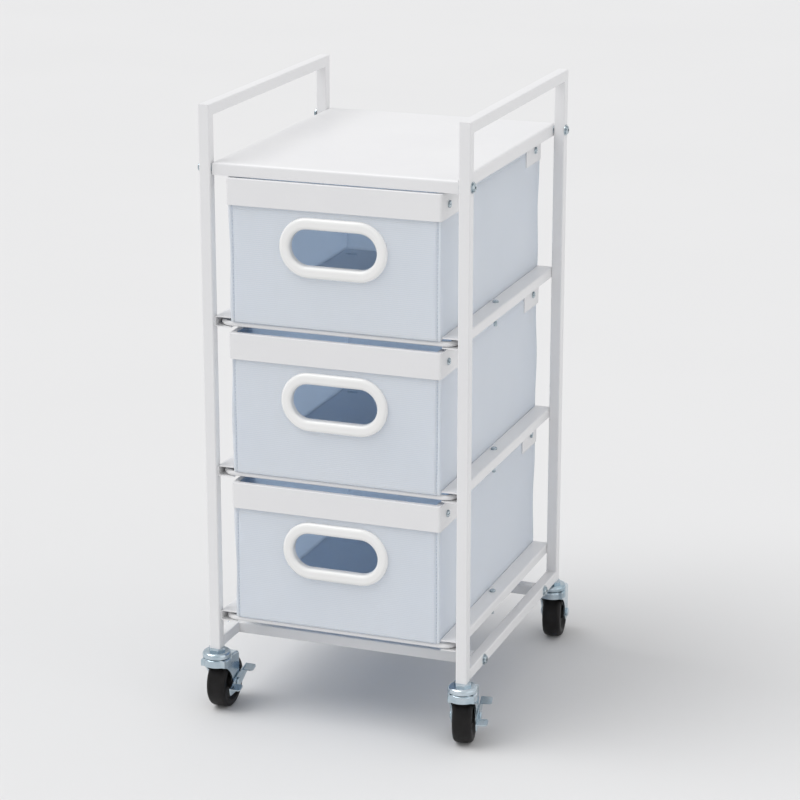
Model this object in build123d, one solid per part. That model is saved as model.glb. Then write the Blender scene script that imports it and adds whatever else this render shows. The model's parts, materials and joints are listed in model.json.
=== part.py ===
from build123d import *
import os

# Rolling stand with three fabric drawers, a sheet-steel top and four swivel casters.
# Millimetres. +Z is up, the drawers open towards -Y, and z = 0 is the floor.
# Everything is modelled about the middle of the frame, and moved by FRAME_CENTRE_Y at the end.
# The wheels trail behind their stems, so the middle of the whole outline is behind the frame's.
FRAME_CENTRE_Y = -16.0

# ---------------------------------------------------------------- driving dimensions
WIDTH = 306.0  # outer face to outer face of the side frames
DEPTH = 348.0  # front face to rear face of the posts
HEIGHT = 698.0  # floor to the top of the handles
FOOT_Z = 78.0  # floor to the bottom end of the posts
TUBE = 12.7  # square tube of the frame
TUBE_WALL = 1.2
TUBE_RADIUS = 1.5

TRAY_TOP_Z = 636.0
TRAY_FLANGE = 14.0
TRAY_SHEET = 1.5
TRAY_BEND = 3.0  # outside radius of the folded edges
TRAY_END_GAP = 1.0  # between the tray and each side frame
TRAY_SETBACK = 3.8  # the tray's front is this far behind the posts' front
TRAY_BOLT_INSET = 7.95  # tray bolts behind the posts' front faces

RAIL_TOP_Z = 466.0  # upper face of the highest pair of rails
DRAWER_PITCH = 171.0
RAIL_HEIGHT = 12.0
RAIL_WIDTH = 19.0
RAIL_SHEET = 1.2
RAIL_BEND = 2.2
RAIL_LENGTH = 338.0
RAIL_TAB_MARGIN = 1.5  # end tab shorter than the rail, above and below

ROD = 6.0  # round wire of a drawer's base
ROD_X = 134.0  # middle of the side runs
ROD_Y = 166.0  # middle of the front and rear runs
ROD_BEND = 12.0  # bend radius at the wire's middle
ROD_GAP = 0.3  # wire above the rail's lower flange

BIN_HALF_WIDTH = 120.5
BIN_HALF_DEPTH = 171.5
BIN_TOP = 153.2  # above the rail's upper face
BIN_BOTTOM = -4.4
BIN_WALL = 2.6
BIN_CORNER = 5.0
PANEL = 2.5  # stiff panel that lies in the bin
PANEL_GAP = 1.0  # around the panel
PANEL_SLOT = (14.0, 8.0)  # finger slot, long side across the bin
PANEL_SLOT_AT = (-102.0, 143.0)

TRIM_TOP = 154.8  # above the rail's upper face
TRIM_HEIGHT = 29.2
TRIM_SHEET = 1.2
TRIM_HALF_WIDTH = 122.0
TRIM_WING = 56.0  # how far the trim wraps back along a side
TRIM_LIP = 6.0  # turned-in top edge
TRIM_CORNER = 3.0
TRIM_EDGE = 0.8  # outside radius of the trim's folded top edge
TRIM_SCREW_INSET = 24.0  # trim screws behind the trim's face

GRIP_Z = 85.3  # middle of the hand hole above the rail's upper face
GRIP_HOLE = (99.0, 40.0)
GRIP_RING = (123.0, 66.0)
GRIP_SLEEVE = 2.4  # wall of the sleeve that passes through the bin
GRIP_PROUD = 4.6
GRIP_ROUND = 4.2
GRIP_FLANGE = 4.5  # rear flange beyond the sleeve
GRIP_FLANGE_SHEET = 1.6

STOP_X = 128.0  # upright screw that stops a drawer's wire
STOP_Y = -9.0
STOP_DROP = 27.0  # its length below the rail's upper face
CROSS_BAR_Y = 113.0

BOLT = 5.0  # M5 frame bolts
BOLT_LENGTH = 25.0
BOLT_HEAD = 12.4
BOLT_HEAD_HEIGHT = 3.3
BOLT_FLANGE = 1.0  # thin rim under the crown of the head
SMALL_SCREW = 4.0  # M4 trim and stop screws
RIVET_NUT = 7.0  # barrel of the threaded inserts in the tray

WHEEL_RADIUS = 30.0
WHEEL_WIDTH = 22.0
TRAIL = 20.0  # axle behind the swivel axis
AXLE = 6.0
FORK_WIDTH = 29.0
FORK_SHEET = 2.0
FORK_TAIL = 28.0  # fork behind the swivel axis
CROWN = 33.0  # diameter of the fork's round crown
CROWN_HEIGHT = 9.0
STEM = 8.0
STEM_HEX = 17.0
RACE_DIAMETER = 33.0
RACE_DEPTH = 7.0  # hexagon's underside to the fork's roof
BALL = 5.0
BALLS = 10
BALL_CIRCLE = 10.0  # radius of the ring of balls
LEVER_SHEET = 1.5
LEVER_FRONT = 22.0  # lever in front of the axle
LEVER_REAR = 29.0  # and behind it
LEVER_TAB = 13.0  # foot tabs stand out this far
LEVER_TILT = 15.0  # rear tab up, as released

RUN_CLEARANCE = 0.06  # radial, shafts in their holes
THREAD_CLEARANCE = 0.05  # radial, screws in their threads
HOLE_CLEARANCE = 0.15  # radial, bolts in the tubes

# ---------------------------------------------------------------- derived values
HALF_W = WIDTH / 2
HALF_D = DEPTH / 2
INNER_X = HALF_W - TUBE
POST_X = HALF_W - TUBE / 2
POST_Y = HALF_D - TUBE / 2
BORE = TUBE - 2 * TUBE_WALL
PLUG = BORE - 0.1  # square plugs pressed into the tubes
TRAY_HALF_WIDTH = INNER_X - TRAY_END_GAP
TRAY_HALF_DEPTH = HALF_D - TRAY_SETBACK
TRAY_BOLT_Z = TRAY_TOP_Z - TRAY_FLANGE / 2
TRAY_BOLT_Y = HALF_D - TRAY_BOLT_INSET
FOOT_BAR_Z = FOOT_Z + TUBE / 2
ROD_DROP = RAIL_HEIGHT - RAIL_SHEET - ROD_GAP - ROD / 2
BIN_INNER_X = BIN_HALF_WIDTH - BIN_WALL
BIN_INNER_Y = BIN_HALF_DEPTH - BIN_WALL
SCREW_Z = TRIM_TOP - TRIM_HEIGHT / 2
SCREW_Y = HALF_D - TRIM_SCREW_INSET
FORK_HALF = FORK_WIDTH / 2
FORK_INSIDE = FORK_HALF - FORK_SHEET
RACE_TOP = FOOT_Z - 4.0  # under the stem's hexagon
FORK_TOP = RACE_TOP - RACE_DEPTH

LEVELS = {
    "top": RAIL_TOP_Z,
    "middle": RAIL_TOP_Z - DRAWER_PITCH,
    "bottom": RAIL_TOP_Z - 2 * DRAWER_PITCH,
}
SIDES = {"left": -1, "right": 1}
CORNERS = [(side, end) for side in (-1, 1) for end in (-1, 1)]
# Each caster: stem position signs, rest angle of its trail about +Z in degrees, has a brake.
CASTERS = {
    "front_left": (-1, -1, 0.5, True),
    "front_right": (1, -1, 11.0, True),
    "rear_left": (-1, 1, 24.0, False),
    "rear_right": (1, 1, 7.0, False),
}

nodes = {}


# ---------------------------------------------------------------- helpers
def block(x, y, z):
    """A box from three (low, high) pairs."""
    size = [high - low for low, high in (x, y, z)]
    middle = [(high + low) / 2 for low, high in (x, y, z)]
    return Pos(*middle) * Box(*size)


def rod_along(axis, radius, start, end, at=(0.0, 0.0)):
    """A round bar along X, Y or Z from start to end; at is its place on the other two axes."""
    middle = (start + end) / 2
    bar = Cylinder(radius, end - start)
    if axis == "X":
        return Pos(middle, *at) * Rot(0, 90, 0) * bar
    if axis == "Y":
        return Pos(at[0], middle, at[1]) * Rot(90, 0, 0) * bar
    return Pos(*at, middle) * bar


def on_side(shape, side):
    """A shape drawn on the right (+X) side, or its mirror image on the left."""
    return shape if side > 0 else mirror(shape, Plane.YZ)


def prism(half_width, half_depth, low, high, radius):
    """An upright block with rounded corners."""
    outline = RectangleRounded(2 * half_width, 2 * half_depth, radius)
    return Pos(0, 0, low) * extrude(outline, high - low)


def square_tube(length):
    """Hollow square tube along Z, centred."""
    outer = RectangleRounded(TUBE, TUBE, TUBE_RADIUS)
    inner = RectangleRounded(BORE, BORE, TUBE_RADIUS - TUBE_WALL)
    return Pos(0, 0, -length / 2) * extrude(outer - inner, length)


def mitre(end, keep_above):
    """Block that cuts a tube's end at 45 degrees in the top corner at the front (-1) or rear (1)."""
    side = -1 if keep_above else 1
    corner = Pos(0, end * POST_Y, HEIGHT - TUBE / 2)
    cutter = Pos(0, 0, side * TUBE) * Box(2 * WIDTH, 4 * TUBE, 2 * TUBE)
    return corner * Rot(45 * end, 0, 0) * cutter


def slot_block(length, height, front, back, z):
    """A round-ended block that reaches from y = front to y = back."""
    outline = Pos(0, back, z) * (Plane.XZ * SlotOverall(length, height))
    return extrude(outline, back - front)


# ---------------------------------------------------------------- side frames
def bolt_holes(y, z):
    """Holes for the bolts at y and -y, through both side frames."""
    radius = BOLT / 2 + HOLE_CLEARANCE
    return [rod_along("X", radius, -HALF_W - 1, HALF_W + 1, (end * y, z)) for end in (-1, 1)]


def add_side_frame(name, side):
    tray_holes = bolt_holes(TRAY_BOLT_Y, TRAY_BOLT_Z)
    for end, place in ((-1, "front"), (1, "rear")):
        post = Pos(side * POST_X, end * POST_Y, (HEIGHT + FOOT_Z) / 2) * square_tube(HEIGHT - FOOT_Z)
        nodes[f"{name}_{place}_post"] = post - mitre(end, keep_above=False) - tray_holes
    top = Pos(side * POST_X, 0, HEIGHT - TUBE / 2) * Rot(90, 0, 0) * square_tube(DEPTH)
    nodes[f"{name}_top_bar"] = top - mitre(-1, keep_above=True) - mitre(1, keep_above=True)
    foot = Pos(side * POST_X, 0, FOOT_BAR_Z) * Rot(90, 0, 0) * square_tube(DEPTH - 2 * TUBE)
    nodes[f"{name}_bottom_bar"] = foot - bolt_holes(CROSS_BAR_Y, FOOT_BAR_Z)


def cross_bar(y):
    return Pos(0, y, FOOT_BAR_Z) * Rot(0, 90, 0) * square_tube(2 * INNER_X)


# ---------------------------------------------------------------- top tray
def top_tray():
    """Folded sheet: a flat top with a short flange down on all four sides."""
    def rounded_slab(inset, depth, radius):
        slab = block(
            (-TRAY_HALF_WIDTH + inset, TRAY_HALF_WIDTH - inset),
            (-TRAY_HALF_DEPTH + inset, TRAY_HALF_DEPTH - inset),
            (TRAY_TOP_Z - inset - depth, TRAY_TOP_Z - inset),
        )
        return fillet(slab.faces().sort_by(Axis.Z)[-1].edges(), radius)

    outside = rounded_slab(0, TRAY_FLANGE, TRAY_BEND)
    inside = rounded_slab(TRAY_SHEET, TRAY_FLANGE, TRAY_BEND - TRAY_SHEET)
    nut_hole = RIVET_NUT / 2 + THREAD_CLEARANCE
    tray = outside - inside
    for end in (-1, 1):
        tray -= rod_along("X", nut_hole, -HALF_W, HALF_W, (end * TRAY_BOLT_Y, TRAY_BOLT_Z))
    return tray


# ---------------------------------------------------------------- rails
def rail(side, top_z):
    """C-channel that opens inwards, with its rear end folded shut as the closed stop."""
    outer = RectangleRounded(RAIL_WIDTH * 2, RAIL_HEIGHT, RAIL_BEND)
    inner = RectangleRounded(
        (RAIL_WIDTH - RAIL_SHEET) * 2, RAIL_HEIGHT - 2 * RAIL_SHEET, RAIL_BEND - RAIL_SHEET
    )
    outer_half = Pos(RAIL_WIDTH / 2, 0) * Rectangle(RAIL_WIDTH, RAIL_HEIGHT)
    channel = extrude(Plane.XZ * ((outer - inner) & outer_half), RAIL_LENGTH)
    channel = Pos(INNER_X - RAIL_WIDTH, RAIL_LENGTH / 2, top_z - RAIL_HEIGHT / 2) * channel
    tab_z = (top_z - RAIL_HEIGHT + RAIL_TAB_MARGIN, top_z - RAIL_TAB_MARGIN)
    rear = RAIL_LENGTH / 2
    tab = block((STOP_X, INNER_X - RAIL_SHEET / 2), (rear, rear + RAIL_SHEET), tab_z)
    fold = block((INNER_X - RAIL_SHEET, INNER_X), (rear - 1, rear + RAIL_SHEET), tab_z)
    hole_radius = SMALL_SCREW / 2 + THREAD_CLEARANCE
    hole = rod_along("Z", hole_radius, top_z - RAIL_HEIGHT - 1, top_z + 1, (STOP_X, STOP_Y))
    return on_side(channel + tab + fold - hole, side)


def stop_screw(side, top_z):
    """Pan-head screw whose shank crosses the channel inside the wire's side run."""
    head = rod_along("Z", 3.6, top_z, top_z + 2.3)
    head = fillet(head.edges().sort_by(Axis.Z)[-1], 1.2)
    shank = rod_along("Z", SMALL_SCREW / 2, top_z - STOP_DROP, top_z + 0.5)
    return Pos(side * STOP_X, STOP_Y, 0) * (head + shank)


# ---------------------------------------------------------------- frame fasteners
def frame_bolt(side, y, z):
    """Round-head bolt, its head on a side frame's outer face."""
    flange = rod_along("X", BOLT_HEAD / 2, HALF_W, HALF_W + BOLT_FLANGE)
    crown = rod_along("X", BOLT_HEAD / 2 - 1.4, HALF_W, HALF_W + BOLT_HEAD_HEIGHT)
    crown = fillet(crown.edges().filter_by(GeomType.CIRCLE).sort_by(Axis.X)[-1], 1.6)
    socket_floor = HALF_W + BOLT_HEAD_HEIGHT - 1.8
    socket = Pos(socket_floor, 0, 0) * extrude(Plane.YZ * RegularPolygon(1.75, 6), BOLT_HEAD_HEIGHT)
    shank = rod_along("X", BOLT / 2, HALF_W - BOLT_LENGTH, HALF_W + BOLT_FLANGE / 2)
    return on_side(Pos(0, y, z) * (flange + crown + shank - socket), side)


def tray_rivet_nut(side, y):
    """Threaded insert set in the tray's side flange, its rim in the gap beside the post."""
    rim = rod_along("X", RIVET_NUT / 2 + 1.1, TRAY_HALF_WIDTH, TRAY_HALF_WIDTH + 0.8)
    barrel = rod_along("X", RIVET_NUT / 2, TRAY_HALF_WIDTH - 13, TRAY_HALF_WIDTH + 0.5)
    bore = rod_along("X", BOLT / 2 + THREAD_CLEARANCE, TRAY_HALF_WIDTH - 14, HALF_W)
    return on_side(Pos(0, y, TRAY_BOLT_Z) * (rim + barrel - bore), side)


def end_plug(side, y):
    """Threaded square plug in a cross bar's end."""
    length = 14.0
    plug = Pos(INNER_X - length, 0, 0) * extrude(Plane.YZ * RectangleRounded(PLUG, PLUG, 0.6), length)
    bore = rod_along("X", BOLT / 2 + THREAD_CLEARANCE, INNER_X - length - 1, INNER_X + 1)
    return on_side(Pos(0, y, FOOT_BAR_Z) * (plug - bore), side)


def foot_insert(x, y):
    """Threaded square plug in a post's lower end, which takes a caster's stem."""
    length = 24.0
    plug = extrude(RectangleRounded(PLUG, PLUG, 0.6), length)
    bore = rod_along("Z", STEM / 2 + THREAD_CLEARANCE, -1, length + 1)
    return Pos(x, y, FOOT_Z) * (plug - bore)


# ---------------------------------------------------------------- drawers
def wire_base():
    """Closed loop of round wire that slides in a pair of rails."""
    path = RectangleRounded(2 * ROD_X, 2 * ROD_Y, ROD_BEND).wire()
    start = Plane(origin=path @ 0, z_dir=path % 0)
    return sweep(start * Circle(ROD / 2), path=path)


def fabric_bin():
    """Open-topped bin with a hand hole in front and a screw hole near each end of both sides."""
    outside = prism(BIN_HALF_WIDTH, BIN_HALF_DEPTH, BIN_BOTTOM, BIN_TOP, BIN_CORNER)
    inside = prism(BIN_INNER_X, BIN_INNER_Y, BIN_BOTTOM + BIN_WALL, BIN_TOP + 5, BIN_CORNER - BIN_WALL)
    hand_hole = [size + 2 * GRIP_SLEEVE + 0.5 for size in GRIP_HOLE]
    shell = outside - inside
    shell -= slot_block(*hand_hole, -BIN_HALF_DEPTH - 5, -BIN_HALF_DEPTH + 20, GRIP_Z)
    for end in (-1, 1):
        screw_hole = SMALL_SCREW / 2 + THREAD_CLEARANCE
        shell -= rod_along("X", screw_hole, -HALF_W, HALF_W, (end * SCREW_Y, SCREW_Z))
    return shell


def base_panel():
    """Stiff panel on the bin's floor, with a finger slot near one rear corner."""
    outline = RectangleRounded(2 * (BIN_INNER_X - PANEL_GAP), 2 * (BIN_INNER_Y - PANEL_GAP), 3)
    panel = extrude(outline - Pos(*PANEL_SLOT_AT) * SlotOverall(*PANEL_SLOT), PANEL)
    return Pos(0, 0, BIN_BOTTOM + BIN_WALL + 0.1) * panel


def end_trim(end):
    """Bent sheet over the bin's front (-1) or rear (1) top edge, with a wing along each side."""
    def plan(inset, radius):
        return RectangleRounded(2 * (TRIM_HALF_WIDTH - inset), DEPTH - 2 * inset, radius)

    outline = plan(0, TRIM_CORNER)
    front_part = Pos(0, -HALF_D + TRIM_WING / 2) * Rectangle(WIDTH, TRIM_WING)
    solid = extrude(outline, TRIM_HEIGHT)
    solid = fillet(solid.faces().sort_by(Axis.Z)[-1].edges(), TRIM_EDGE)
    solid -= extrude(plan(TRIM_SHEET, TRIM_CORNER - TRIM_SHEET), TRIM_HEIGHT - TRIM_SHEET)
    solid -= extrude(plan(TRIM_LIP, 1.5), TRIM_HEIGHT)
    trim = Pos(0, 0, TRIM_TOP - TRIM_HEIGHT) * (solid & extrude(front_part, TRIM_HEIGHT))
    screw_hole = SMALL_SCREW / 2 + THREAD_CLEARANCE
    trim -= rod_along("X", screw_hole, -HALF_W, HALF_W, (-SCREW_Y, SCREW_Z))
    return trim if end < 0 else mirror(trim, Plane.XZ)


def grip_ring():
    """Rounded oblong grommet: a bead in front, a sleeve through the wall and a flange behind it."""
    face = -BIN_HALF_DEPTH - 0.1
    back = -BIN_INNER_Y + 0.1
    sleeve = [size + 2 * GRIP_SLEEVE for size in GRIP_HOLE]
    flange = [size + 2 * GRIP_FLANGE for size in sleeve]
    hole = slot_block(*GRIP_HOLE, face - 20, face + 20, GRIP_Z)
    bead = slot_block(*GRIP_RING, face - GRIP_PROUD, face, GRIP_Z) - hole
    bead = fillet(bead.faces().sort_by(Axis.Y)[0].edges(), GRIP_ROUND)
    tail = slot_block(*sleeve, face, back + GRIP_FLANGE_SHEET, GRIP_Z)
    tail += slot_block(*flange, back, back + GRIP_FLANGE_SHEET, GRIP_Z)
    return bead + (tail - hole)


def trim_screw(side, end):
    """Binding screw through a trim's wing and the bin's wall."""
    head_radius, head_height = 4.0, 2.2
    face = TRIM_HALF_WIDTH
    head = rod_along("X", head_radius, face, face + head_height)
    head = fillet(head.edges().filter_by(GeomType.CIRCLE).sort_by(Axis.X)[-1], 1.3)
    slot = block((face + head_height - 0.8, face + head_height + 1), (-5, 5), (-0.5, 0.5))
    shank = rod_along("X", SMALL_SCREW / 2, BIN_INNER_X - 1, face + 0.5)
    cap = rod_along("X", head_radius, BIN_INNER_X - 1.6, BIN_INNER_X - 0.1)
    return on_side(Pos(0, end * SCREW_Y, SCREW_Z) * (head + shank + cap - slot), side)


def add_drawer(name, top_z):
    lift = Pos(0, 0, top_z)
    nodes[f"{name}_drawer_wire_base"] = Pos(0, 0, top_z - ROD_DROP) * wire_base()
    nodes[f"{name}_drawer_fabric_bin"] = lift * fabric_bin()
    nodes[f"{name}_drawer_base_panel"] = lift * base_panel()
    nodes[f"{name}_drawer_front_trim"] = lift * end_trim(-1)
    nodes[f"{name}_drawer_rear_trim"] = lift * end_trim(1)
    nodes[f"{name}_drawer_grip_ring"] = lift * grip_ring()
    nodes[f"{name}_drawer_trim_screws"] = Compound([lift * trim_screw(*corner) for corner in CORNERS])


# ---------------------------------------------------------------- casters
def caster_stem():
    """Threaded stem with a hexagon under the post and a riveted head under the fork."""
    roof = FORK_TOP - FORK_SHEET
    thread = rod_along("Z", STEM / 2, roof - 1, FOOT_Z + 22)
    hexagon = extrude(RegularPolygon(STEM_HEX / 2, 6, major_radius=False), FOOT_Z - RACE_TOP)
    rivet_head = rod_along("Z", 6.5, roof - 2.3, roof - 0.3)
    return thread + Pos(0, 0, RACE_TOP) * hexagon + rivet_head


def race_cup():
    """Pressed cup on the stem that holds the swivel balls down on the fork."""
    wall = 1.6
    outer = rod_along("Z", RACE_DIAMETER / 2, FORK_TOP + 0.8, RACE_TOP)
    outer = fillet(outer.edges().sort_by(Axis.Z)[-1], 3.6)
    inner = rod_along("Z", RACE_DIAMETER / 2 - wall, FORK_TOP, RACE_TOP - wall)
    return outer - inner - rod_along("Z", STEM / 2 + THREAD_CLEARANCE, 0, FOOT_Z)


def bearing_balls():
    ball = Pos(BALL_CIRCLE, 0, FORK_TOP + 0.15 + BALL / 2) * Sphere(BALL / 2)
    return [Rot(0, 0, 360 * step / BALLS) * ball for step in range(BALLS)]


def fork_outline():
    """Side outline of the fork's cheeks: y runs along the trail, z up."""
    front = -13.0
    boss_half, boss_foot = 8.2, 4.0
    boss = WHEEL_RADIUS - 8.4
    shoulder = WHEEL_RADIUS - 3
    skirt = FORK_TOP - CROWN_HEIGHT
    straight = Polyline(
        (front, skirt),
        (front, FORK_TOP),
        (-front, FORK_TOP),
        (FORK_TAIL, FORK_TOP - 2.5),
        (FORK_TAIL, WHEEL_RADIUS + 20),
        (TRAIL + boss_half, shoulder),
        (TRAIL + boss_foot, boss),
        (TRAIL - boss_foot, boss),
        (TRAIL - boss_half, shoulder),
    )
    arch = ThreePointArc((TRAIL - boss_half, shoulder), (3.0, WHEEL_RADIUS + 17.5), (front, skirt))
    return straight + arch


def fork_inside():
    """Side outline of the space between the cheeks, open below and behind."""
    roof = FORK_TOP - FORK_SHEET
    front = -10.0
    behind = FORK_TAIL + 12
    return Polyline(
        (front, 0), (front, roof), (12.8, roof), (behind, roof - 4.5), (behind, 0), close=True
    )


def caster_fork():
    """Pressed housing: a round crown under the bearing, and a cheek down to each axle end."""
    cheeks = extrude(Plane.YZ * make_face(fork_outline()), FORK_HALF, both=True)
    above = cheeks.edges().filter_by(lambda edge: edge.center().Z > FORK_TOP - 2)
    shoulders = above.filter_by(lambda edge: abs(edge.center().X) > FORK_HALF - 0.5)
    skirt = FORK_TOP - CROWN_HEIGHT
    crown = rod_along("Z", CROWN / 2, skirt, FORK_TOP)
    crown = fillet(crown.edges().sort_by(Axis.Z)[-1], 3.0)
    inner = extrude(Plane.YZ * make_face(fork_inside()), FORK_INSIDE, both=True)
    pocket = rod_along("Z", CROWN / 2 - FORK_SHEET, skirt, FORK_TOP - FORK_SHEET)
    pocket &= block((-CROWN, CROWN), (-CROWN, -5), (0, FOOT_Z))
    fork = fillet(shoulders, 3.0) + crown - inner - pocket
    fork -= rod_along("Z", STEM / 2 + RUN_CLEARANCE, 0, FOOT_Z)
    axle_hole = AXLE / 2 + THREAD_CLEARANCE
    return fork - rod_along("X", axle_hole, -FORK_WIDTH, FORK_WIDTH, (TRAIL, WHEEL_RADIUS))


def caster_axle(braked):
    """Riveted axle. On a braked caster it is longer, and carries the lever outside the fork."""
    head_radius, head = 5.0, 2.0
    near = -FORK_HALF
    far = FORK_HALF + (LEVER_SHEET + 0.8 if braked else 0)
    shank = rod_along("X", AXLE / 2, near - 1, far + 1)
    near_head = rod_along("X", head_radius, near - head, near)
    near_head = fillet(near_head.edges().filter_by(GeomType.CIRCLE).sort_by(Axis.X)[0], 1.0)
    far_head = rod_along("X", head_radius, far, far + head)
    far_head = fillet(far_head.edges().filter_by(GeomType.CIRCLE).sort_by(Axis.X)[-1], 1.0)
    return Pos(0, TRAIL, WHEEL_RADIUS) * (shank + near_head + far_head)


def caster_wheel():
    """One-piece wheel: rounded tread, dished sides and a hub that turns on the axle."""
    bore = AXLE / 2 + RUN_CLEARANCE
    tread = WHEEL_WIDTH / 2
    web = tread - 3.5  # the sides are dished between the hub and the rim
    hub = FORK_INSIDE - 0.3
    half = [(bore, hub), (8, hub), (9, web), (20, web), (22.5, tread), (WHEEL_RADIUS, tread)]
    mirrored = [(radius, -width) for radius, width in reversed(half)]
    face = make_face(Polyline(*half, *mirrored, close=True))
    shoulders = face.vertices().filter_by(lambda corner: corner.X > WHEEL_RADIUS - 0.1)
    wheel = revolve(fillet(shoulders, 4.5), Axis.Y)
    return Pos(0, TRAIL, WHEEL_RADIUS) * Rot(0, 0, 90) * wheel


def brake_lever():
    """Rocker plate on the axle's outer end, with a foot tab bent outwards at each end."""
    inner = FORK_HALF + 0.4
    half, boss, boss_end = 5.0, 8.0, 7.0
    outline = Polyline(
        (-LEVER_FRONT, 1 - half),
        (-boss_end, -boss),
        (boss_end, -boss),
        (LEVER_REAR, 1 - half),
        (LEVER_REAR, half),
        (boss_end, boss),
        (-boss_end, boss),
        (-LEVER_FRONT, half),
        close=True,
    )
    lever = Pos(inner, 0, 0) * extrude(Plane.YZ * make_face(outline), LEVER_SHEET)
    for low, high in ((-LEVER_FRONT, 11 - LEVER_FRONT), (LEVER_REAR - 12, LEVER_REAR)):
        tab = block((inner + 0.5, inner + LEVER_TAB), (low, high), (half - LEVER_SHEET, half))
        lever += fillet(tab.edges().filter_by(Axis.Z).sort_by(Axis.X)[-2:], 3.0)
    lever -= rod_along("X", AXLE / 2 + RUN_CLEARANCE, 0, 2 * FORK_WIDTH)
    return Pos(0, TRAIL, WHEEL_RADIUS) * Rot(LEVER_TILT, 0, 0) * lever


def add_casters():
    stems, cups, balls = [], [], []
    for name, (side, end, angle, braked) in CASTERS.items():
        at = Pos(side * POST_X, end * POST_Y, 0)
        swivelled = at * Rot(0, 0, angle)
        stems.append(at * caster_stem())
        cups.append(at * race_cup())
        balls += [at * ball for ball in bearing_balls()]
        nodes[f"{name}_caster_fork"] = swivelled * caster_fork()
        nodes[f"{name}_caster_axle"] = swivelled * caster_axle(braked)
        nodes[f"{name}_caster_wheel"] = swivelled * caster_wheel()
        if braked:
            nodes[f"{name}_caster_brake_lever"] = swivelled * brake_lever()
    nodes["caster_stems"] = Compound(stems)
    nodes["caster_race_cups"] = Compound(cups)
    nodes["caster_bearing_balls"] = Compound(balls)


# ---------------------------------------------------------------- assembly
for side_name, side_sign in SIDES.items():
    add_side_frame(side_name, side_sign)
nodes["front_cross_bar"] = cross_bar(-CROSS_BAR_Y)
nodes["rear_cross_bar"] = cross_bar(CROSS_BAR_Y)
nodes["top_tray"] = top_tray()
for level_name, level_z in LEVELS.items():
    for side_name, side_sign in SIDES.items():
        nodes[f"{side_name}_{level_name}_rail"] = rail(side_sign, level_z)
    add_drawer(level_name, level_z)

bolts = [frame_bolt(side, end * TRAY_BOLT_Y, TRAY_BOLT_Z) for side, end in CORNERS]
bolts += [frame_bolt(side, end * CROSS_BAR_Y, FOOT_BAR_Z) for side, end in CORNERS]
nodes["frame_bolts"] = Compound(bolts)
nodes["tray_rivet_nuts"] = Compound([tray_rivet_nut(side, end * TRAY_BOLT_Y) for side, end in CORNERS])
nodes["cross_bar_end_plugs"] = Compound([end_plug(side, end * CROSS_BAR_Y) for side, end in CORNERS])
nodes["post_foot_inserts"] = Compound([foot_insert(side * POST_X, end * POST_Y) for side, end in CORNERS])
nodes["rail_stop_screws"] = Compound([stop_screw(side, z) for side in (-1, 1) for z in LEVELS.values()])
add_casters()

os.makedirs("parts", exist_ok=True)
for node_name, shape in nodes.items():
    solids = shape.solids()
    whole = solids[0] if len(solids) == 1 else Compound(solids)
    export_step(Pos(0, FRAME_CENTRE_Y, 0) * whole, f"parts/{node_name}.step")
print(len(nodes), "nodes written")
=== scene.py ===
import bmesh
import bpy
import json
import math
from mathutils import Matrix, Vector


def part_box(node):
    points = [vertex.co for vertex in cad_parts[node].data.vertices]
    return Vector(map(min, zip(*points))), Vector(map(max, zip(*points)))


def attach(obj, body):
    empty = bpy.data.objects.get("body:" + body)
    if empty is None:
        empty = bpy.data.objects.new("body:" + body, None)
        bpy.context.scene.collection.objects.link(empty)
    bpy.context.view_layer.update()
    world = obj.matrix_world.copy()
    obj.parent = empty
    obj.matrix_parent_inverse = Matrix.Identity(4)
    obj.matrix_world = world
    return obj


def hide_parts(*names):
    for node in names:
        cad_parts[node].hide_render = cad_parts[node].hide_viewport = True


# Rolling stand with three fabric drawers: the CAD frame with its finishes, and the cloth bins,
# their stitching and their base boards as new pieces. Metres, in the CAD frame.
MM = 0.001
LEVELS = ("top", "middle", "bottom")

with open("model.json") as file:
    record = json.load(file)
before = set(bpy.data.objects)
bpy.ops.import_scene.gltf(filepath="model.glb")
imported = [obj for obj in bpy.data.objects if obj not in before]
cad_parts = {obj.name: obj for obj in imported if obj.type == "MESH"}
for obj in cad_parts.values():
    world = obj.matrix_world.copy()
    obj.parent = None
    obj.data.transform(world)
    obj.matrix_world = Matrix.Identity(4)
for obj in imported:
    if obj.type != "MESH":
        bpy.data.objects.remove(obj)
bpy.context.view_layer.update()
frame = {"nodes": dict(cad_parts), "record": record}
nodes = frame["nodes"]


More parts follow.
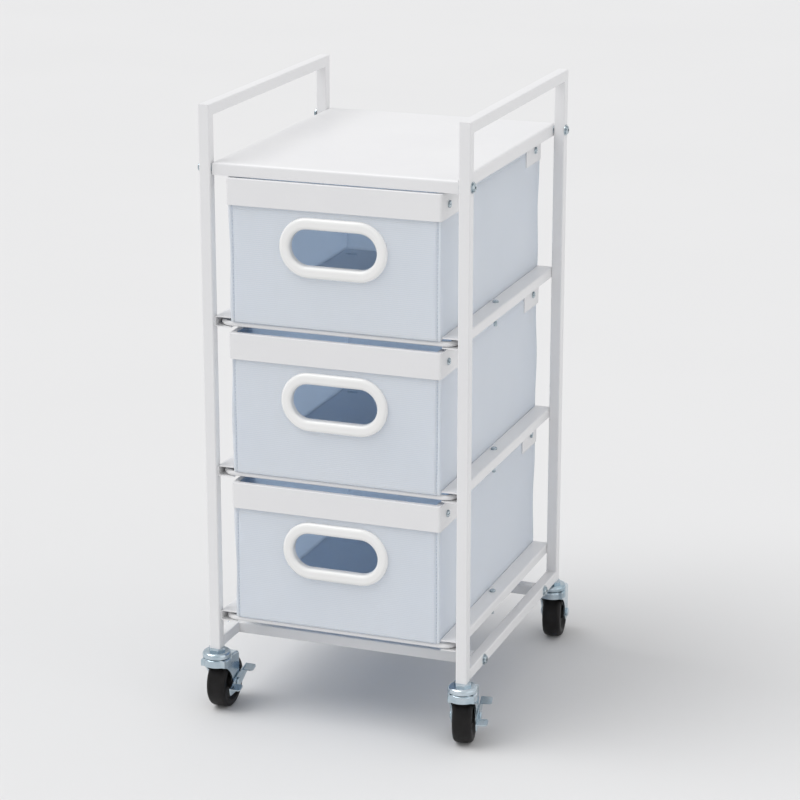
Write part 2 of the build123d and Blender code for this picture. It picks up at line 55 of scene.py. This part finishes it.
# ---------------------------------------------------------------- material helpers
class Finish:
    """One Principled material, with short calls for the nodes that the finishes share."""

    def __init__(self, name, colour, roughness, metallic=0.0, **sockets):
        self.material = bpy.data.materials.new(name)
        self.material.use_nodes = True
        self.tree = self.material.node_tree
        self.shader = self.tree.nodes["Principled BSDF"]
        self.shader.inputs["Base Color"].default_value = (*colour, 1)
        self.shader.inputs["Roughness"].default_value = roughness
        self.shader.inputs["Metallic"].default_value = metallic
        for socket, value in sockets.items():
            self.shader.inputs[socket.replace("_", " ")].default_value = value
        self.place = self.tree.nodes.new("ShaderNodeTexCoord").outputs["Object"]

    def link(self, source, target):
        self.tree.links.new(source, target)

    def node(self, kind, **values):
        made = self.tree.nodes.new(kind)
        for name, value in values.items():
            made.inputs[name].default_value = value
        return made

    def noise(self, scale, detail=3.0, stretch=None):
        """Noise over the object's own coordinates; stretch scales it along X, Y and Z."""
        made = self.node("ShaderNodeTexNoise", Scale=scale, Detail=detail)
        place = self.place
        if stretch is not None:
            mapping = self.node("ShaderNodeMapping", Scale=stretch)
            self.link(place, mapping.inputs["Vector"])
            place = mapping.outputs["Vector"]
        self.link(place, made.inputs["Vector"])
        return made.outputs["Fac"]

    def bands(self, axis, pitch, distortion=0.0):
        """Even ribs across one axis, pitch metres apart."""
        wave = self.node("ShaderNodeTexWave", Scale=2 * math.pi / (20 * pitch), Distortion=distortion)
        wave.inputs["Detail Scale"].default_value = 1.5
        wave.bands_direction = axis
        self.link(self.place, wave.inputs["Vector"])
        return wave.outputs["Fac"]

    def ramp(self, source, low, high, start=0.3, end=0.7):
        """A colour that goes from low to high as source goes from start to end."""
        made = self.node("ShaderNodeValToRGB")
        first, last = made.color_ramp.elements
        first.position, first.color = start, (*low, 1)
        last.position, last.color = end, (*high, 1)
        self.link(source, made.inputs["Fac"])
        return made.outputs["Color"]

    def span(self, source, low, high):
        """A number from low to high as source goes from 0 to 1."""
        made = self.node("ShaderNodeMapRange")
        made.inputs["To Min"].default_value = low
        made.inputs["To Max"].default_value = high
        self.link(source, made.inputs["Value"])
        return made.outputs["Result"]

    def colour(self, source):
        self.link(source, self.shader.inputs["Base Color"])

    def rough(self, source, low, high):
        self.link(self.span(source, low, high), self.shader.inputs["Roughness"])

    def bump(self, source, height, under=None):
        """Relief of that height in metres; under is a bump that lies beneath it."""
        made = self.node("ShaderNodeBump", Distance=height, Strength=1.0)
        self.link(source, made.inputs["Height"])
        if under is not None:
            self.link(under, made.inputs["Normal"])
        return made.outputs["Normal"]

    def surface(self, normal):
        self.link(normal, self.shader.inputs["Normal"])

    def let_light_through(self, share, colour):
        """Thin cloth: that share of the light comes out on the other side, tinted."""
        beyond = self.node("ShaderNodeBsdfTranslucent", Color=(*colour, 1))
        mix = self.node("ShaderNodeMixShader", Fac=share)
        self.link(self.shader.outputs["BSDF"], mix.inputs[1])
        self.link(beyond.outputs["BSDF"], mix.inputs[2])
        self.link(mix.outputs["Shader"], self.tree.nodes["Material Output"].inputs["Surface"])


# ---------------------------------------------------------------- finishes
def powder_coat():
    """Smooth white powder coat: faint orange peel, and a little unevenness in its gloss."""
    finish = Finish("white_powder_coat", (0.79, 0.79, 0.795), 0.36, Coat_Weight=0.15, Coat_Roughness=0.25)
    cloud = finish.noise(9.0, 4.0)
    finish.colour(finish.ramp(cloud, (0.775, 0.775, 0.785), (0.80, 0.80, 0.805)))
    finish.rough(finish.noise(60.0), 0.30, 0.42)
    finish.surface(finish.bump(finish.noise(900.0, 1.0), 0.00004))
    return finish.material


# Tints of the light that passes through the bins' outer cloth and through their lining.
THROUGH_CLOTH = (0.89, 0.94, 1.0)
THROUGH_LINING = (0.76, 0.87, 1.0)


def rib_cloth(name, axis, low, high, pitch=2.2 * MM):
    """Bin cloth: fine ribs across one axis, a plain weave between them, and a soft sheen; the ribs'
    grooves are coloured darker, which is painted shade.
    """
    finish = Finish(name, high, 0.85, Sheen_Weight=0.25, Sheen_Roughness=0.5)
    ribs = finish.bands(axis, pitch)
    # Each rib's colour goes from low in the groove, where the bump is lowest, to high on the crest:
    # painted shade in the grooves.
    rib_colour_with_painted_groove_shade = finish.ramp(ribs, low, high, 0.0, 0.5)
    mix = finish.node("ShaderNodeMix")
    mix.data_type = "RGBA"
    mix.blend_type = "MULTIPLY"
    mix.inputs["Factor"].default_value = 1.0
    wash = finish.ramp(finish.noise(14.0, 5.0), (0.965, 0.970, 0.975), (1.0, 1.0, 1.0))
    finish.link(rib_colour_with_painted_groove_shade, mix.inputs[6])
    finish.link(wash, mix.inputs[7])
    finish.colour(mix.outputs[2])
    weave = finish.bump(finish.noise(1600.0, 2.0), 0.00012)
    finish.surface(finish.bump(ribs, 0.00010, weave))
    finish.let_light_through(0.33, THROUGH_CLOTH)
    return finish.material


def lining_cloth():
    """Plain cloth inside the bins."""
    finish = Finish("bin_lining", (0.86, 0.92, 0.97), 0.9, Sheen_Weight=0.15)
    finish.colour(finish.ramp(finish.noise(20.0, 4.0), (0.845, 0.91, 0.965), (0.875, 0.93, 0.975)))
    finish.surface(finish.bump(finish.noise(1500.0, 2.0), 0.00015))
    finish.let_light_through(0.65, THROUGH_LINING)
    return finish.material


def thread():
    """Twisted sewing thread."""
    finish = Finish("sewing_thread", (0.70, 0.75, 0.81), 0.7, Sheen_Weight=0.3)
    finish.colour(finish.ramp(finish.noise(700.0), (0.62, 0.68, 0.75), (0.76, 0.80, 0.85)))
    finish.surface(finish.bump(finish.noise(2500.0, 1.0, (1.0, 1.0, 0.3)), 0.0001))
    return finish.material


def moulded_plastic():
    """Glossy white moulded plastic."""
    finish = Finish("moulded_plastic", (0.86, 0.86, 0.85), 0.2, Coat_Weight=0.3, Coat_Roughness=0.08)
    finish.colour(finish.ramp(finish.noise(12.0), (0.845, 0.845, 0.835), (0.87, 0.87, 0.86)))
    finish.rough(finish.noise(90.0), 0.16, 0.26)
    finish.surface(finish.bump(finish.noise(260.0, 1.0), 0.00003))
    return finish.material


def zinc(name, low, high, rough_low, rough_high, patches=45.0):
    """Zinc plate: metal whose colour shifts in patches over the surface; its blue tint is the
    passivation, and its dark patches are painted reflection of darker surroundings.
    """
    finish = Finish(name, high, rough_low, 1.0)
    # Colour patches: blue passivation tone, darkened in the low patches as painted reflection.
    finish.colour(finish.ramp(finish.noise(patches, 4.0), low, high))
    finish.rough(finish.noise(160.0, 5.0), rough_low, rough_high)
    finish.surface(finish.bump(finish.noise(1200.0, 3.0), 0.00005))
    return finish.material


def black_wheel():
    """Satin black moulded wheel with faint turning marks and scuffs on the tread."""
    finish = Finish("wheel_black", (0.008, 0.0075, 0.0075), 0.5, Specular_IOR_Level=0.22)
    finish.colour(finish.ramp(finish.noise(110.0, 6.0), (0.006, 0.0055, 0.0055), (0.013, 0.012, 0.012)))
    finish.rough(finish.noise(220.0, 5.0), 0.36, 0.58)
    finish.surface(finish.bump(finish.noise(900.0, 3.0), 0.00008))
    return finish.material


def black_nylon():
    finish = Finish("black_nylon", (0.02, 0.02, 0.02), 0.5)
    finish.rough(finish.noise(300.0), 0.42, 0.58)
    finish.surface(finish.bump(finish.noise(1400.0), 0.00005))
    return finish.material


def board_cloth():
    """Cloth glued over the base boards."""
    finish = Finish("board_cloth", (0.90, 0.94, 0.975), 0.88, Sheen_Weight=0.15)
    finish.colour(finish.ramp(finish.noise(18.0, 4.0), (0.885, 0.93, 0.97), (0.915, 0.95, 0.98)))
    finish.surface(finish.bump(finish.bands("Y", 1.4 * MM, 0.4), 0.00012))
    finish.let_light_through(0.3, THROUGH_LINING)
    return finish.material


finishes = {
    "white_powder_coat": powder_coat(),
    "grip_plastic": moulded_plastic(),
    # The dark first colours of both zinc finishes are painted reflection, and their blue tint is the
    # passivation.
    "zinc_plate": zinc("zinc_plate", (0.42, 0.53, 0.60), (0.66, 0.73, 0.78), 0.14, 0.28),
    "bolt_steel": zinc("bolt_steel", (0.20, 0.27, 0.31), (0.66, 0.73, 0.77), 0.12, 0.30, 260.0),
    "wheel_black": black_wheel(),
    "insert_nylon": black_nylon(),
}
# The first colour given to each bin cloth is the painted shade in its rib grooves.
cloth_front = rib_cloth("bin_cloth_front", "Z", (0.875, 0.915, 0.945), (0.94, 0.96, 0.975))
cloth_side = rib_cloth("bin_cloth_side", "Y", (0.90, 0.935, 0.955), (0.945, 0.965, 0.98), 3.4 * MM)
cloth_lining = lining_cloth()
cloth_board = board_cloth()
cloth_thread = thread()

for part in frame["record"]["subparts"]:
    finish = finishes.get(part["material_slot"])
    if finish is not None:
        mesh = nodes[part["node"]].data
        mesh.materials.clear()
        mesh.materials.append(finish)


# ---------------------------------------------------------------- mesh helpers
def add_piece(name, mesh, body, materials):
    """A finished mesh as a piece on a CAD body."""
    for item in materials:
        mesh.materials.append(item)
    piece = bpy.data.objects.new(name, mesh)
    bpy.context.scene.collection.objects.link(piece)
    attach(piece, body)
    return piece


def loft(rings):
    """A closed mesh through rings of points, each ring with as many points as the others."""
    mesh = bmesh.new()
    made = [[mesh.verts.new(point) for point in ring] for ring in rings]
    count = len(made[0])
    for lower, upper in zip(made, made[1:]):
        for index in range(count):
            after = (index + 1) % count
            mesh.faces.new((lower[index], lower[after], upper[after], upper[index]))
    mesh.faces.new(reversed(made[0]))
    mesh.faces.new(made[-1])
    return mesh


def slot_points(length, height, steps=20):
    """Round-ended slot outline about the origin, as (across, up) pairs."""
    radius = height / 2
    shift = length / 2 - radius
    points = []
    for end in (1, -1):
        for step in range(steps + 1):
            turn = math.pi * step / steps - math.pi / 2
            points.append((end * (shift + radius * math.cos(turn)), end * radius * math.sin(turn)))
    return points


def cut(piece, cutter):
    """Takes the cutter's volume out of the piece, for good."""
    change = piece.modifiers.new("cut", "BOOLEAN")
    change.operation = "DIFFERENCE"
    change.object = cutter
    change.solver = "EXACT"
    graph = bpy.context.evaluated_depsgraph_get()
    done = bpy.data.meshes.new_from_object(piece.evaluated_get(graph))
    piece.modifiers.clear()
    piece.data = done
    bpy.data.objects.remove(cutter)


def prism_cutter(outline):
    """An object to cut with, lofted between two rings of points."""
    mesh = bpy.data.meshes.new("cutter")
    solid = loft(outline)
    bmesh.ops.recalc_face_normals(solid, faces=solid.faces)
    solid.to_mesh(mesh)
    solid.free()
    cutter = bpy.data.objects.new("cutter", mesh)
    bpy.context.scene.collection.objects.link(cutter)
    bpy.context.view_layer.update()
    return cutter


# ---------------------------------------------------------------- fabric bins
WALL = 2.6 * MM
CORNER = 2.0 * MM
SEAM_INSET = 3.8 * MM  # seam beside each upright corner
SEAM_DEPTH = 2.0 * MM
SEAM_HALF = 1.5 * MM
HEM = 12.0 * MM
HEM_STITCH_REACH = 112 * MM  # each way from the middle of a side, up to the trims
GRID = 5.0 * MM
INSIDE_STEPS = 24
THREAD_SIDES = 6
HAND_HOLE = (104.4 * MM, 45.4 * MM)  # in the cloth, round the grip ring's sleeve
FINGER_SLOT = (14 * MM, 8 * MM)
FINGER_SLOT_IN = Vector((-102 * MM, 143 * MM))  # from the board's middle
BOARD_CORNER = 3 * MM
BOARD_EDGE = ((0.9, 0.0), (0.2, 0.2), (0.0, 0.5), (0.2, 0.8), (0.9, 1.0))  # inset in mm, share of height
FRONT, RIGHT, REAR, LEFT = range(4)


class Outline:
    """Perimeter of a bin: points along its four walls and corners, with their outward directions."""

    def __init__(self, low, high):
        self.centre = Vector(((low.x + high.x) / 2, (low.y + high.y) / 2, 0))
        half = ((high.x - low.x) / 2, (high.y - low.y) / 2)
        self.points = []
        for wall in range(4):
            along, across = (half[0], half[1]) if wall % 2 == 0 else (half[1], half[0])
            turn = math.pi / 2 * wall
            ahead = Vector((math.cos(turn), math.sin(turn), 0))
            out = Vector((math.sin(turn), -math.cos(turn), 0))
            for place in self.stations(along - CORNER):
                spot = ahead * place + out * across
                self.points.append((wall, place / along, spot, out, along - abs(place)))
            for step in range(1, 4):
                angle = math.pi / 2 * step / 4
                way = out * math.cos(angle) + ahead * math.sin(angle)
                middle = ahead * (along - CORNER) + out * (across - CORNER)
                self.points.append((wall, 1.0, middle + way * CORNER, way, 0.0))

    @staticmethod
    def stations(reach):
        """Distances along a wall: even in the middle, close together at the seams near its ends."""
        seam = reach + CORNER - SEAM_INSET
        offsets = (-2.2, -1.0, -0.5, 0.0, 0.5, 1.0)
        near_end = [seam + offset * SEAM_HALF for offset in offsets]
        inner = near_end[0] - 2 * SEAM_HALF
        count = max(2, round(2 * inner / GRID))
        middle = [-inner + 2 * inner * step / count for step in range(count + 1)]
        return [-reach] + [-place for place in reversed(near_end)] + middle + near_end + [reach]


def sway(wall, along, up, phase):
    """How far the cloth stands out (+) or in (-) at a place on a wall; 0 at its top and bottom."""
    swell = math.sin(math.pi * min(1.0, max(0.0, up))) ** 0.8
    if wall == FRONT:
        belly = 0.25 * math.cos(1.4 * along + phase)
        wave = 0.12 * math.sin(5 * along + 4 * up + phase)
        return swell * MM * (belly + wave)
    if wall == REAR:
        belly = 0.6 * math.cos(1.3 * along)
        wave = 0.3 * math.sin(4 * along + 3 * up + phase)
        return swell * MM * (belly + wave)
    belly = 0.9 * math.cos(1.5 * along)
    wave = 0.25 * math.sin(6 * along + 3 * up + phase)
    edge_ripple = 0.9 * abs(along) ** 6 * math.sin(7.5 * up + 2.1 * phase + 1.3 * along)
    return swell * MM * (belly + wave + edge_ripple)


def seam_dip(distance, up, phase):
    """Depth of the upright seam's groove at a distance from the corner."""
    centre = SEAM_INSET + MM * 0.3 * math.sin(5 * up + phase)
    width = SEAM_HALF * (0.75 + 0.45 * math.sin(math.pi * up))
    gap = abs(distance - centre) / width
    return SEAM_DEPTH * math.cos(gap * math.pi / 2) if gap < 1 else 0.0


def wall_ring(outline, z, up, inset, phase, seams):
    """One ring of the bin's surface at height z."""
    ring = []
    for wall, along, place, out, from_corner in outline.points:
        push = sway(wall, along, up, phase) - inset
        if seams:
            dip = seam_dip(from_corner, up, phase + wall)
            push -= dip if wall in (FRONT, REAR) else 0.45 * dip
        point = outline.centre + place + out * push
        ring.append((point.x, point.y, z))
    return ring


def bin_mesh(low, high, phase):
    """The bin's cloth as one closed shell: outside, rolled rim, inside and floor."""
    outline = Outline(low, high)
    height = high.z - low.z
    foot = ((0.0, 1.7), (0.25, 0.8), (0.9, 0.25), (2.0, 0.0))  # height and inset of the lower edge
    outside = [(low.z + z * MM, inset * MM) for z, inset in foot]
    steps = round((height - HEM) / GRID)
    first = 3.5 * MM
    outside += [(low.z + first + (height - HEM - first) * step / steps, 0.0) for step in range(steps)]
    hem = high.z - HEM
    outside += [(hem - 0.6 * MM, 0.1 * MM), (hem, 0.5 * MM), (hem + 0.6 * MM, 0.1 * MM)]
    outside += [(hem + 3 * MM, 0.0), (hem + 7 * MM, 0.0)]
    outside += [(high.z - 0.9 * MM, 0.0), (high.z - 0.25 * MM, 0.4 * MM)]
    rings, count = [], len(outline.points)
    for z, inset in outside:
        rings.append(wall_ring(outline, z, (z - low.z) / height, inset, phase, z < hem))
    rings.append(wall_ring(outline, high.z, 1.0, WALL / 2, phase, False))
    for step in range(INSIDE_STEPS + 1):
        z = high.z - 0.5 * MM - (height - WALL - 0.5 * MM) * step / INSIDE_STEPS
        rings.append(wall_ring(outline, z, (z - low.z) / height, WALL, phase, False))
    shell = loft(rings)
    shell.faces.ensure_lookup_table()
    outer_rows = len(outside)
    for index, face in enumerate(shell.faces):
        row, wall = divmod(index, count)
        if row >= outer_rows:
            face.material_index = 2
        elif row < len(rings) - 1:
            face.material_index = 0 if outline.points[wall][0] in (FRONT, REAR) else 1
        face.smooth = row < len(rings) - 1
    bmesh.ops.recalc_face_normals(shell, faces=shell.faces)
    mesh = bpy.data.meshes.new("bin")
    shell.to_mesh(mesh)
    shell.free()
    return mesh


def stitch(mesh, start, end, radius):
    """One stitch: a short thread that arches out of the cloth and back in."""
    ahead = (end - start).normalized()
    side = ahead.cross(Vector((0.3, 0.5, 0.8))).normalized()
    above = ahead.cross(side)
    profile = ((0.0, 0.25), (0.12, 0.8), (0.5, 1.0), (0.88, 0.8), (1.0, 0.25))
    rings = []
    for share, scale in profile:
        centre = start.lerp(end, share)
        ring = []
        for step in range(THREAD_SIDES):
            turn = math.tau * step / THREAD_SIDES
            way = side * math.cos(turn) + above * math.sin(turn)
            ring.append(mesh.verts.new(centre + way * radius * scale))
        rings.append(ring)
    for lower, upper in zip(rings, rings[1:]):
        for index in range(THREAD_SIDES):
            after = (index + 1) % THREAD_SIDES
            mesh.faces.new((lower[index], lower[after], upper[after], upper[index])).smooth = True
    mesh.faces.new(reversed(rings[0]))
    mesh.faces.new(rings[-1])


def stitch_line(mesh, points, pitch=4.2 * MM, length=2.9 * MM, radius=0.32 * MM):
    """Stitches along a polyline."""
    for start, end in zip(points, points[1:]):
        run = end - start
        ahead = run.normalized()
        for step in range(int(run.length / pitch)):
            at = start + ahead * (step * pitch + 0.5 * (pitch - length))
            stitch(mesh, at, at + ahead * length, radius)


def bin_stitching(low, high, phase):
    """Stitching down the upright seams, and round the hem where the trims leave it open."""
    threads = bmesh.new()
    centre_y = (low.y + high.y) / 2
    depth = SEAM_DEPTH * 0.75
    for side in (-1, 1):
        x = side * ((high.x - low.x) / 2 - SEAM_INSET)
        for y in (low.y + depth, high.y - depth):
            foot = Vector((x, y, low.z + 5 * MM))
            top = Vector((x, y, high.z - HEM - 20 * MM))
            stitch_line(threads, [foot, top])
        hem_x = side * ((high.x - low.x) / 2 + 0.05 * MM)
        hem_z = high.z - HEM + 3 * MM
        ends = [Vector((hem_x, centre_y + end * HEM_STITCH_REACH, hem_z)) for end in (-1, 1)]
        stitch_line(threads, ends, pitch=3.6 * MM, length=2.6 * MM)
    mesh = bpy.data.meshes.new("stitching")
    threads.to_mesh(mesh)
    threads.free()
    return mesh


def base_board(low, high):
    """Cloth-covered board with soft edges."""
    middle = (low + high) / 2
    half = (high - low) / 2
    rings = []
    for inset, share in BOARD_EDGE:
        round_edge = BOARD_CORNER - inset * MM
        ring = []
        for quarter in range(4):
            for step in range(7):
                angle = math.pi / 2 * (quarter + step / 6)
                sign_x = 1 if quarter in (0, 3) else -1
                sign_y = 1 if quarter in (0, 1) else -1
                x = middle.x + sign_x * (half.x - BOARD_CORNER) + round_edge * math.cos(angle)
                y = middle.y + sign_y * (half.y - BOARD_CORNER) + round_edge * math.sin(angle)
                ring.append((x, y, low.z + (high.z - low.z) * share))
        rings.append(ring)
    solid = loft(rings)
    for face in solid.faces:
        face.smooth = len(face.verts) == 4
    bmesh.ops.recalc_face_normals(solid, faces=solid.faces)
    mesh = bpy.data.meshes.new("board")
    solid.to_mesh(mesh)
    solid.free()
    return mesh


def add_drawer_soft_goods(level, phase):
    body = f"{level}_drawer"
    node = f"{level}_drawer_fabric_bin"
    low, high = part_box(node)
    mesh = bin_mesh(low, high, phase)
    cloth = add_piece(f"{level}_bin_cloth", mesh, body, (cloth_front, cloth_side, cloth_lining))
    ring_low, ring_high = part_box(f"{level}_drawer_grip_ring")
    hole_z = (ring_low.z + ring_high.z) / 2
    hole = slot_points(*HAND_HOLE)
    ends = [[(x, y, hole_z + z) for x, z in hole] for y in (low.y - 9 * MM, low.y + 9 * MM)]
    cut(cloth, prism_cutter(ends))
    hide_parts(node)
    stitching = bin_stitching(low, high, phase)
    add_piece(f"{level}_bin_stitching", stitching, body, (cloth_thread,))

    node = f"{level}_drawer_base_panel"
    low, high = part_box(node)
    board = add_piece(f"{level}_base_board", base_board(low, high), body, (cloth_board,))
    middle = (low + high) / 2
    slot_outline = slot_points(*FINGER_SLOT)
    slot_x = middle.x + FINGER_SLOT_IN.x
    slot_y = middle.y + FINGER_SLOT_IN.y
    ends = []
    for z in (low.z - 4 * MM, high.z + 4 * MM):
        ends.append([(slot_x + x, slot_y + y, z) for x, y in slot_outline])
    cut(board, prism_cutter(ends))
    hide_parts(node)


for number, level_name in enumerate(LEVELS):
    add_drawer_soft_goods(level_name, 1.7 * number)


# ---------------------------------------------------------------- studio
FLOOR_REACH = 14.0
# Brightness of the surroundings, from the horizon at 0 to straight up at 1.
SKY_STOPS = ((0.0, 0.98), (0.05, 0.95), (0.35, 0.80), (0.6, 0.92), (1.0, 0.96))
SKY_STRENGTH = 0.84
CAMERA_PLACE = (0.996, -2.687, 1.2)
CAMERA_YAW = 0.353
CAMERA_PITCH = 0.294
CAMERA_LENS = 117.5


def add_floor():
    """Pale seamless floor, far wider than the camera sees."""
    corners = [(x * FLOOR_REACH, y * FLOOR_REACH, 0) for x, y in ((-1, -1), (1, -1), (1, 1), (-1, 1))]
    mesh = bpy.data.meshes.new("floor")
    mesh.from_pydata(corners, [], [(0, 1, 2, 3)])
    finish = Finish("floor", (0.72, 0.72, 0.72), 0.8, Specular_IOR_Level=0.2)
    finish.colour(finish.ramp(finish.noise(1.5), (0.715, 0.715, 0.715), (0.725, 0.725, 0.725)))
    mesh.materials.append(finish.material)
    floor = bpy.data.objects.new("floor", mesh)
    bpy.context.scene.collection.objects.link(floor)


def add_sun(name, towards, spread, strength):
    """Soft far light that shines along a direction; spread is its width in degrees."""
    light = bpy.data.lights.new(name, "SUN")
    light.angle = math.radians(spread)
    light.energy = strength
    lamp = bpy.data.objects.new(name, light)
    lamp.rotation_euler = Vector(towards).to_track_quat("-Z", "Y").to_euler()
    bpy.context.scene.collection.objects.link(lamp)


def add_world():
    """Soft box: as bright as the floor at the horizon, dimmer half way up, bright overhead."""
    world = bpy.data.worlds.new("studio")
    world.use_nodes = True
    tree = world.node_tree
    background = tree.nodes["Background"]
    direction = tree.nodes.new("ShaderNodeTexCoord")
    split = tree.nodes.new("ShaderNodeSeparateXYZ")
    ramp = tree.nodes.new("ShaderNodeValToRGB")
    elements = ramp.color_ramp.elements
    while len(elements) < len(SKY_STOPS):
        elements.new(0.5)
    for element, (place, level) in zip(elements, SKY_STOPS):
        element.position = place
        element.color = (level, level, level * 1.01, 1)
    tree.links.new(direction.outputs["Generated"], split.inputs["Vector"])
    tree.links.new(split.outputs["Z"], ramp.inputs["Fac"])
    tree.links.new(ramp.outputs["Color"], background.inputs["Color"])
    background.inputs["Strength"].default_value = SKY_STRENGTH
    bpy.context.scene.world = world


def add_camera():
    """Long lens from the front, a little to the right of the stand and above its top."""
    camera = bpy.data.cameras.new("camera")
    camera.sensor_width = 36.0
    camera.lens = CAMERA_LENS
    camera.clip_end = 100.0
    level = math.cos(CAMERA_PITCH)
    ahead = Vector((-math.sin(CAMERA_YAW) * level, math.cos(CAMERA_YAW) * level, -math.sin(CAMERA_PITCH)))
    holder = bpy.data.objects.new("camera", camera)
    holder.location = CAMERA_PLACE
    holder.rotation_euler = ahead.to_track_quat("-Z", "Y").to_euler()
    bpy.context.scene.collection.objects.link(holder)
    bpy.context.scene.camera = holder


add_floor()
add_world()
add_sun("key", (0.55, 0.30, -1.0), 42.0, 1.35)
add_sun("fill", (-1.0, 0.2, -0.3), 60.0, 0.24)
bpy.context.scene.view_settings.view_transform = "Standard"
add_camera()
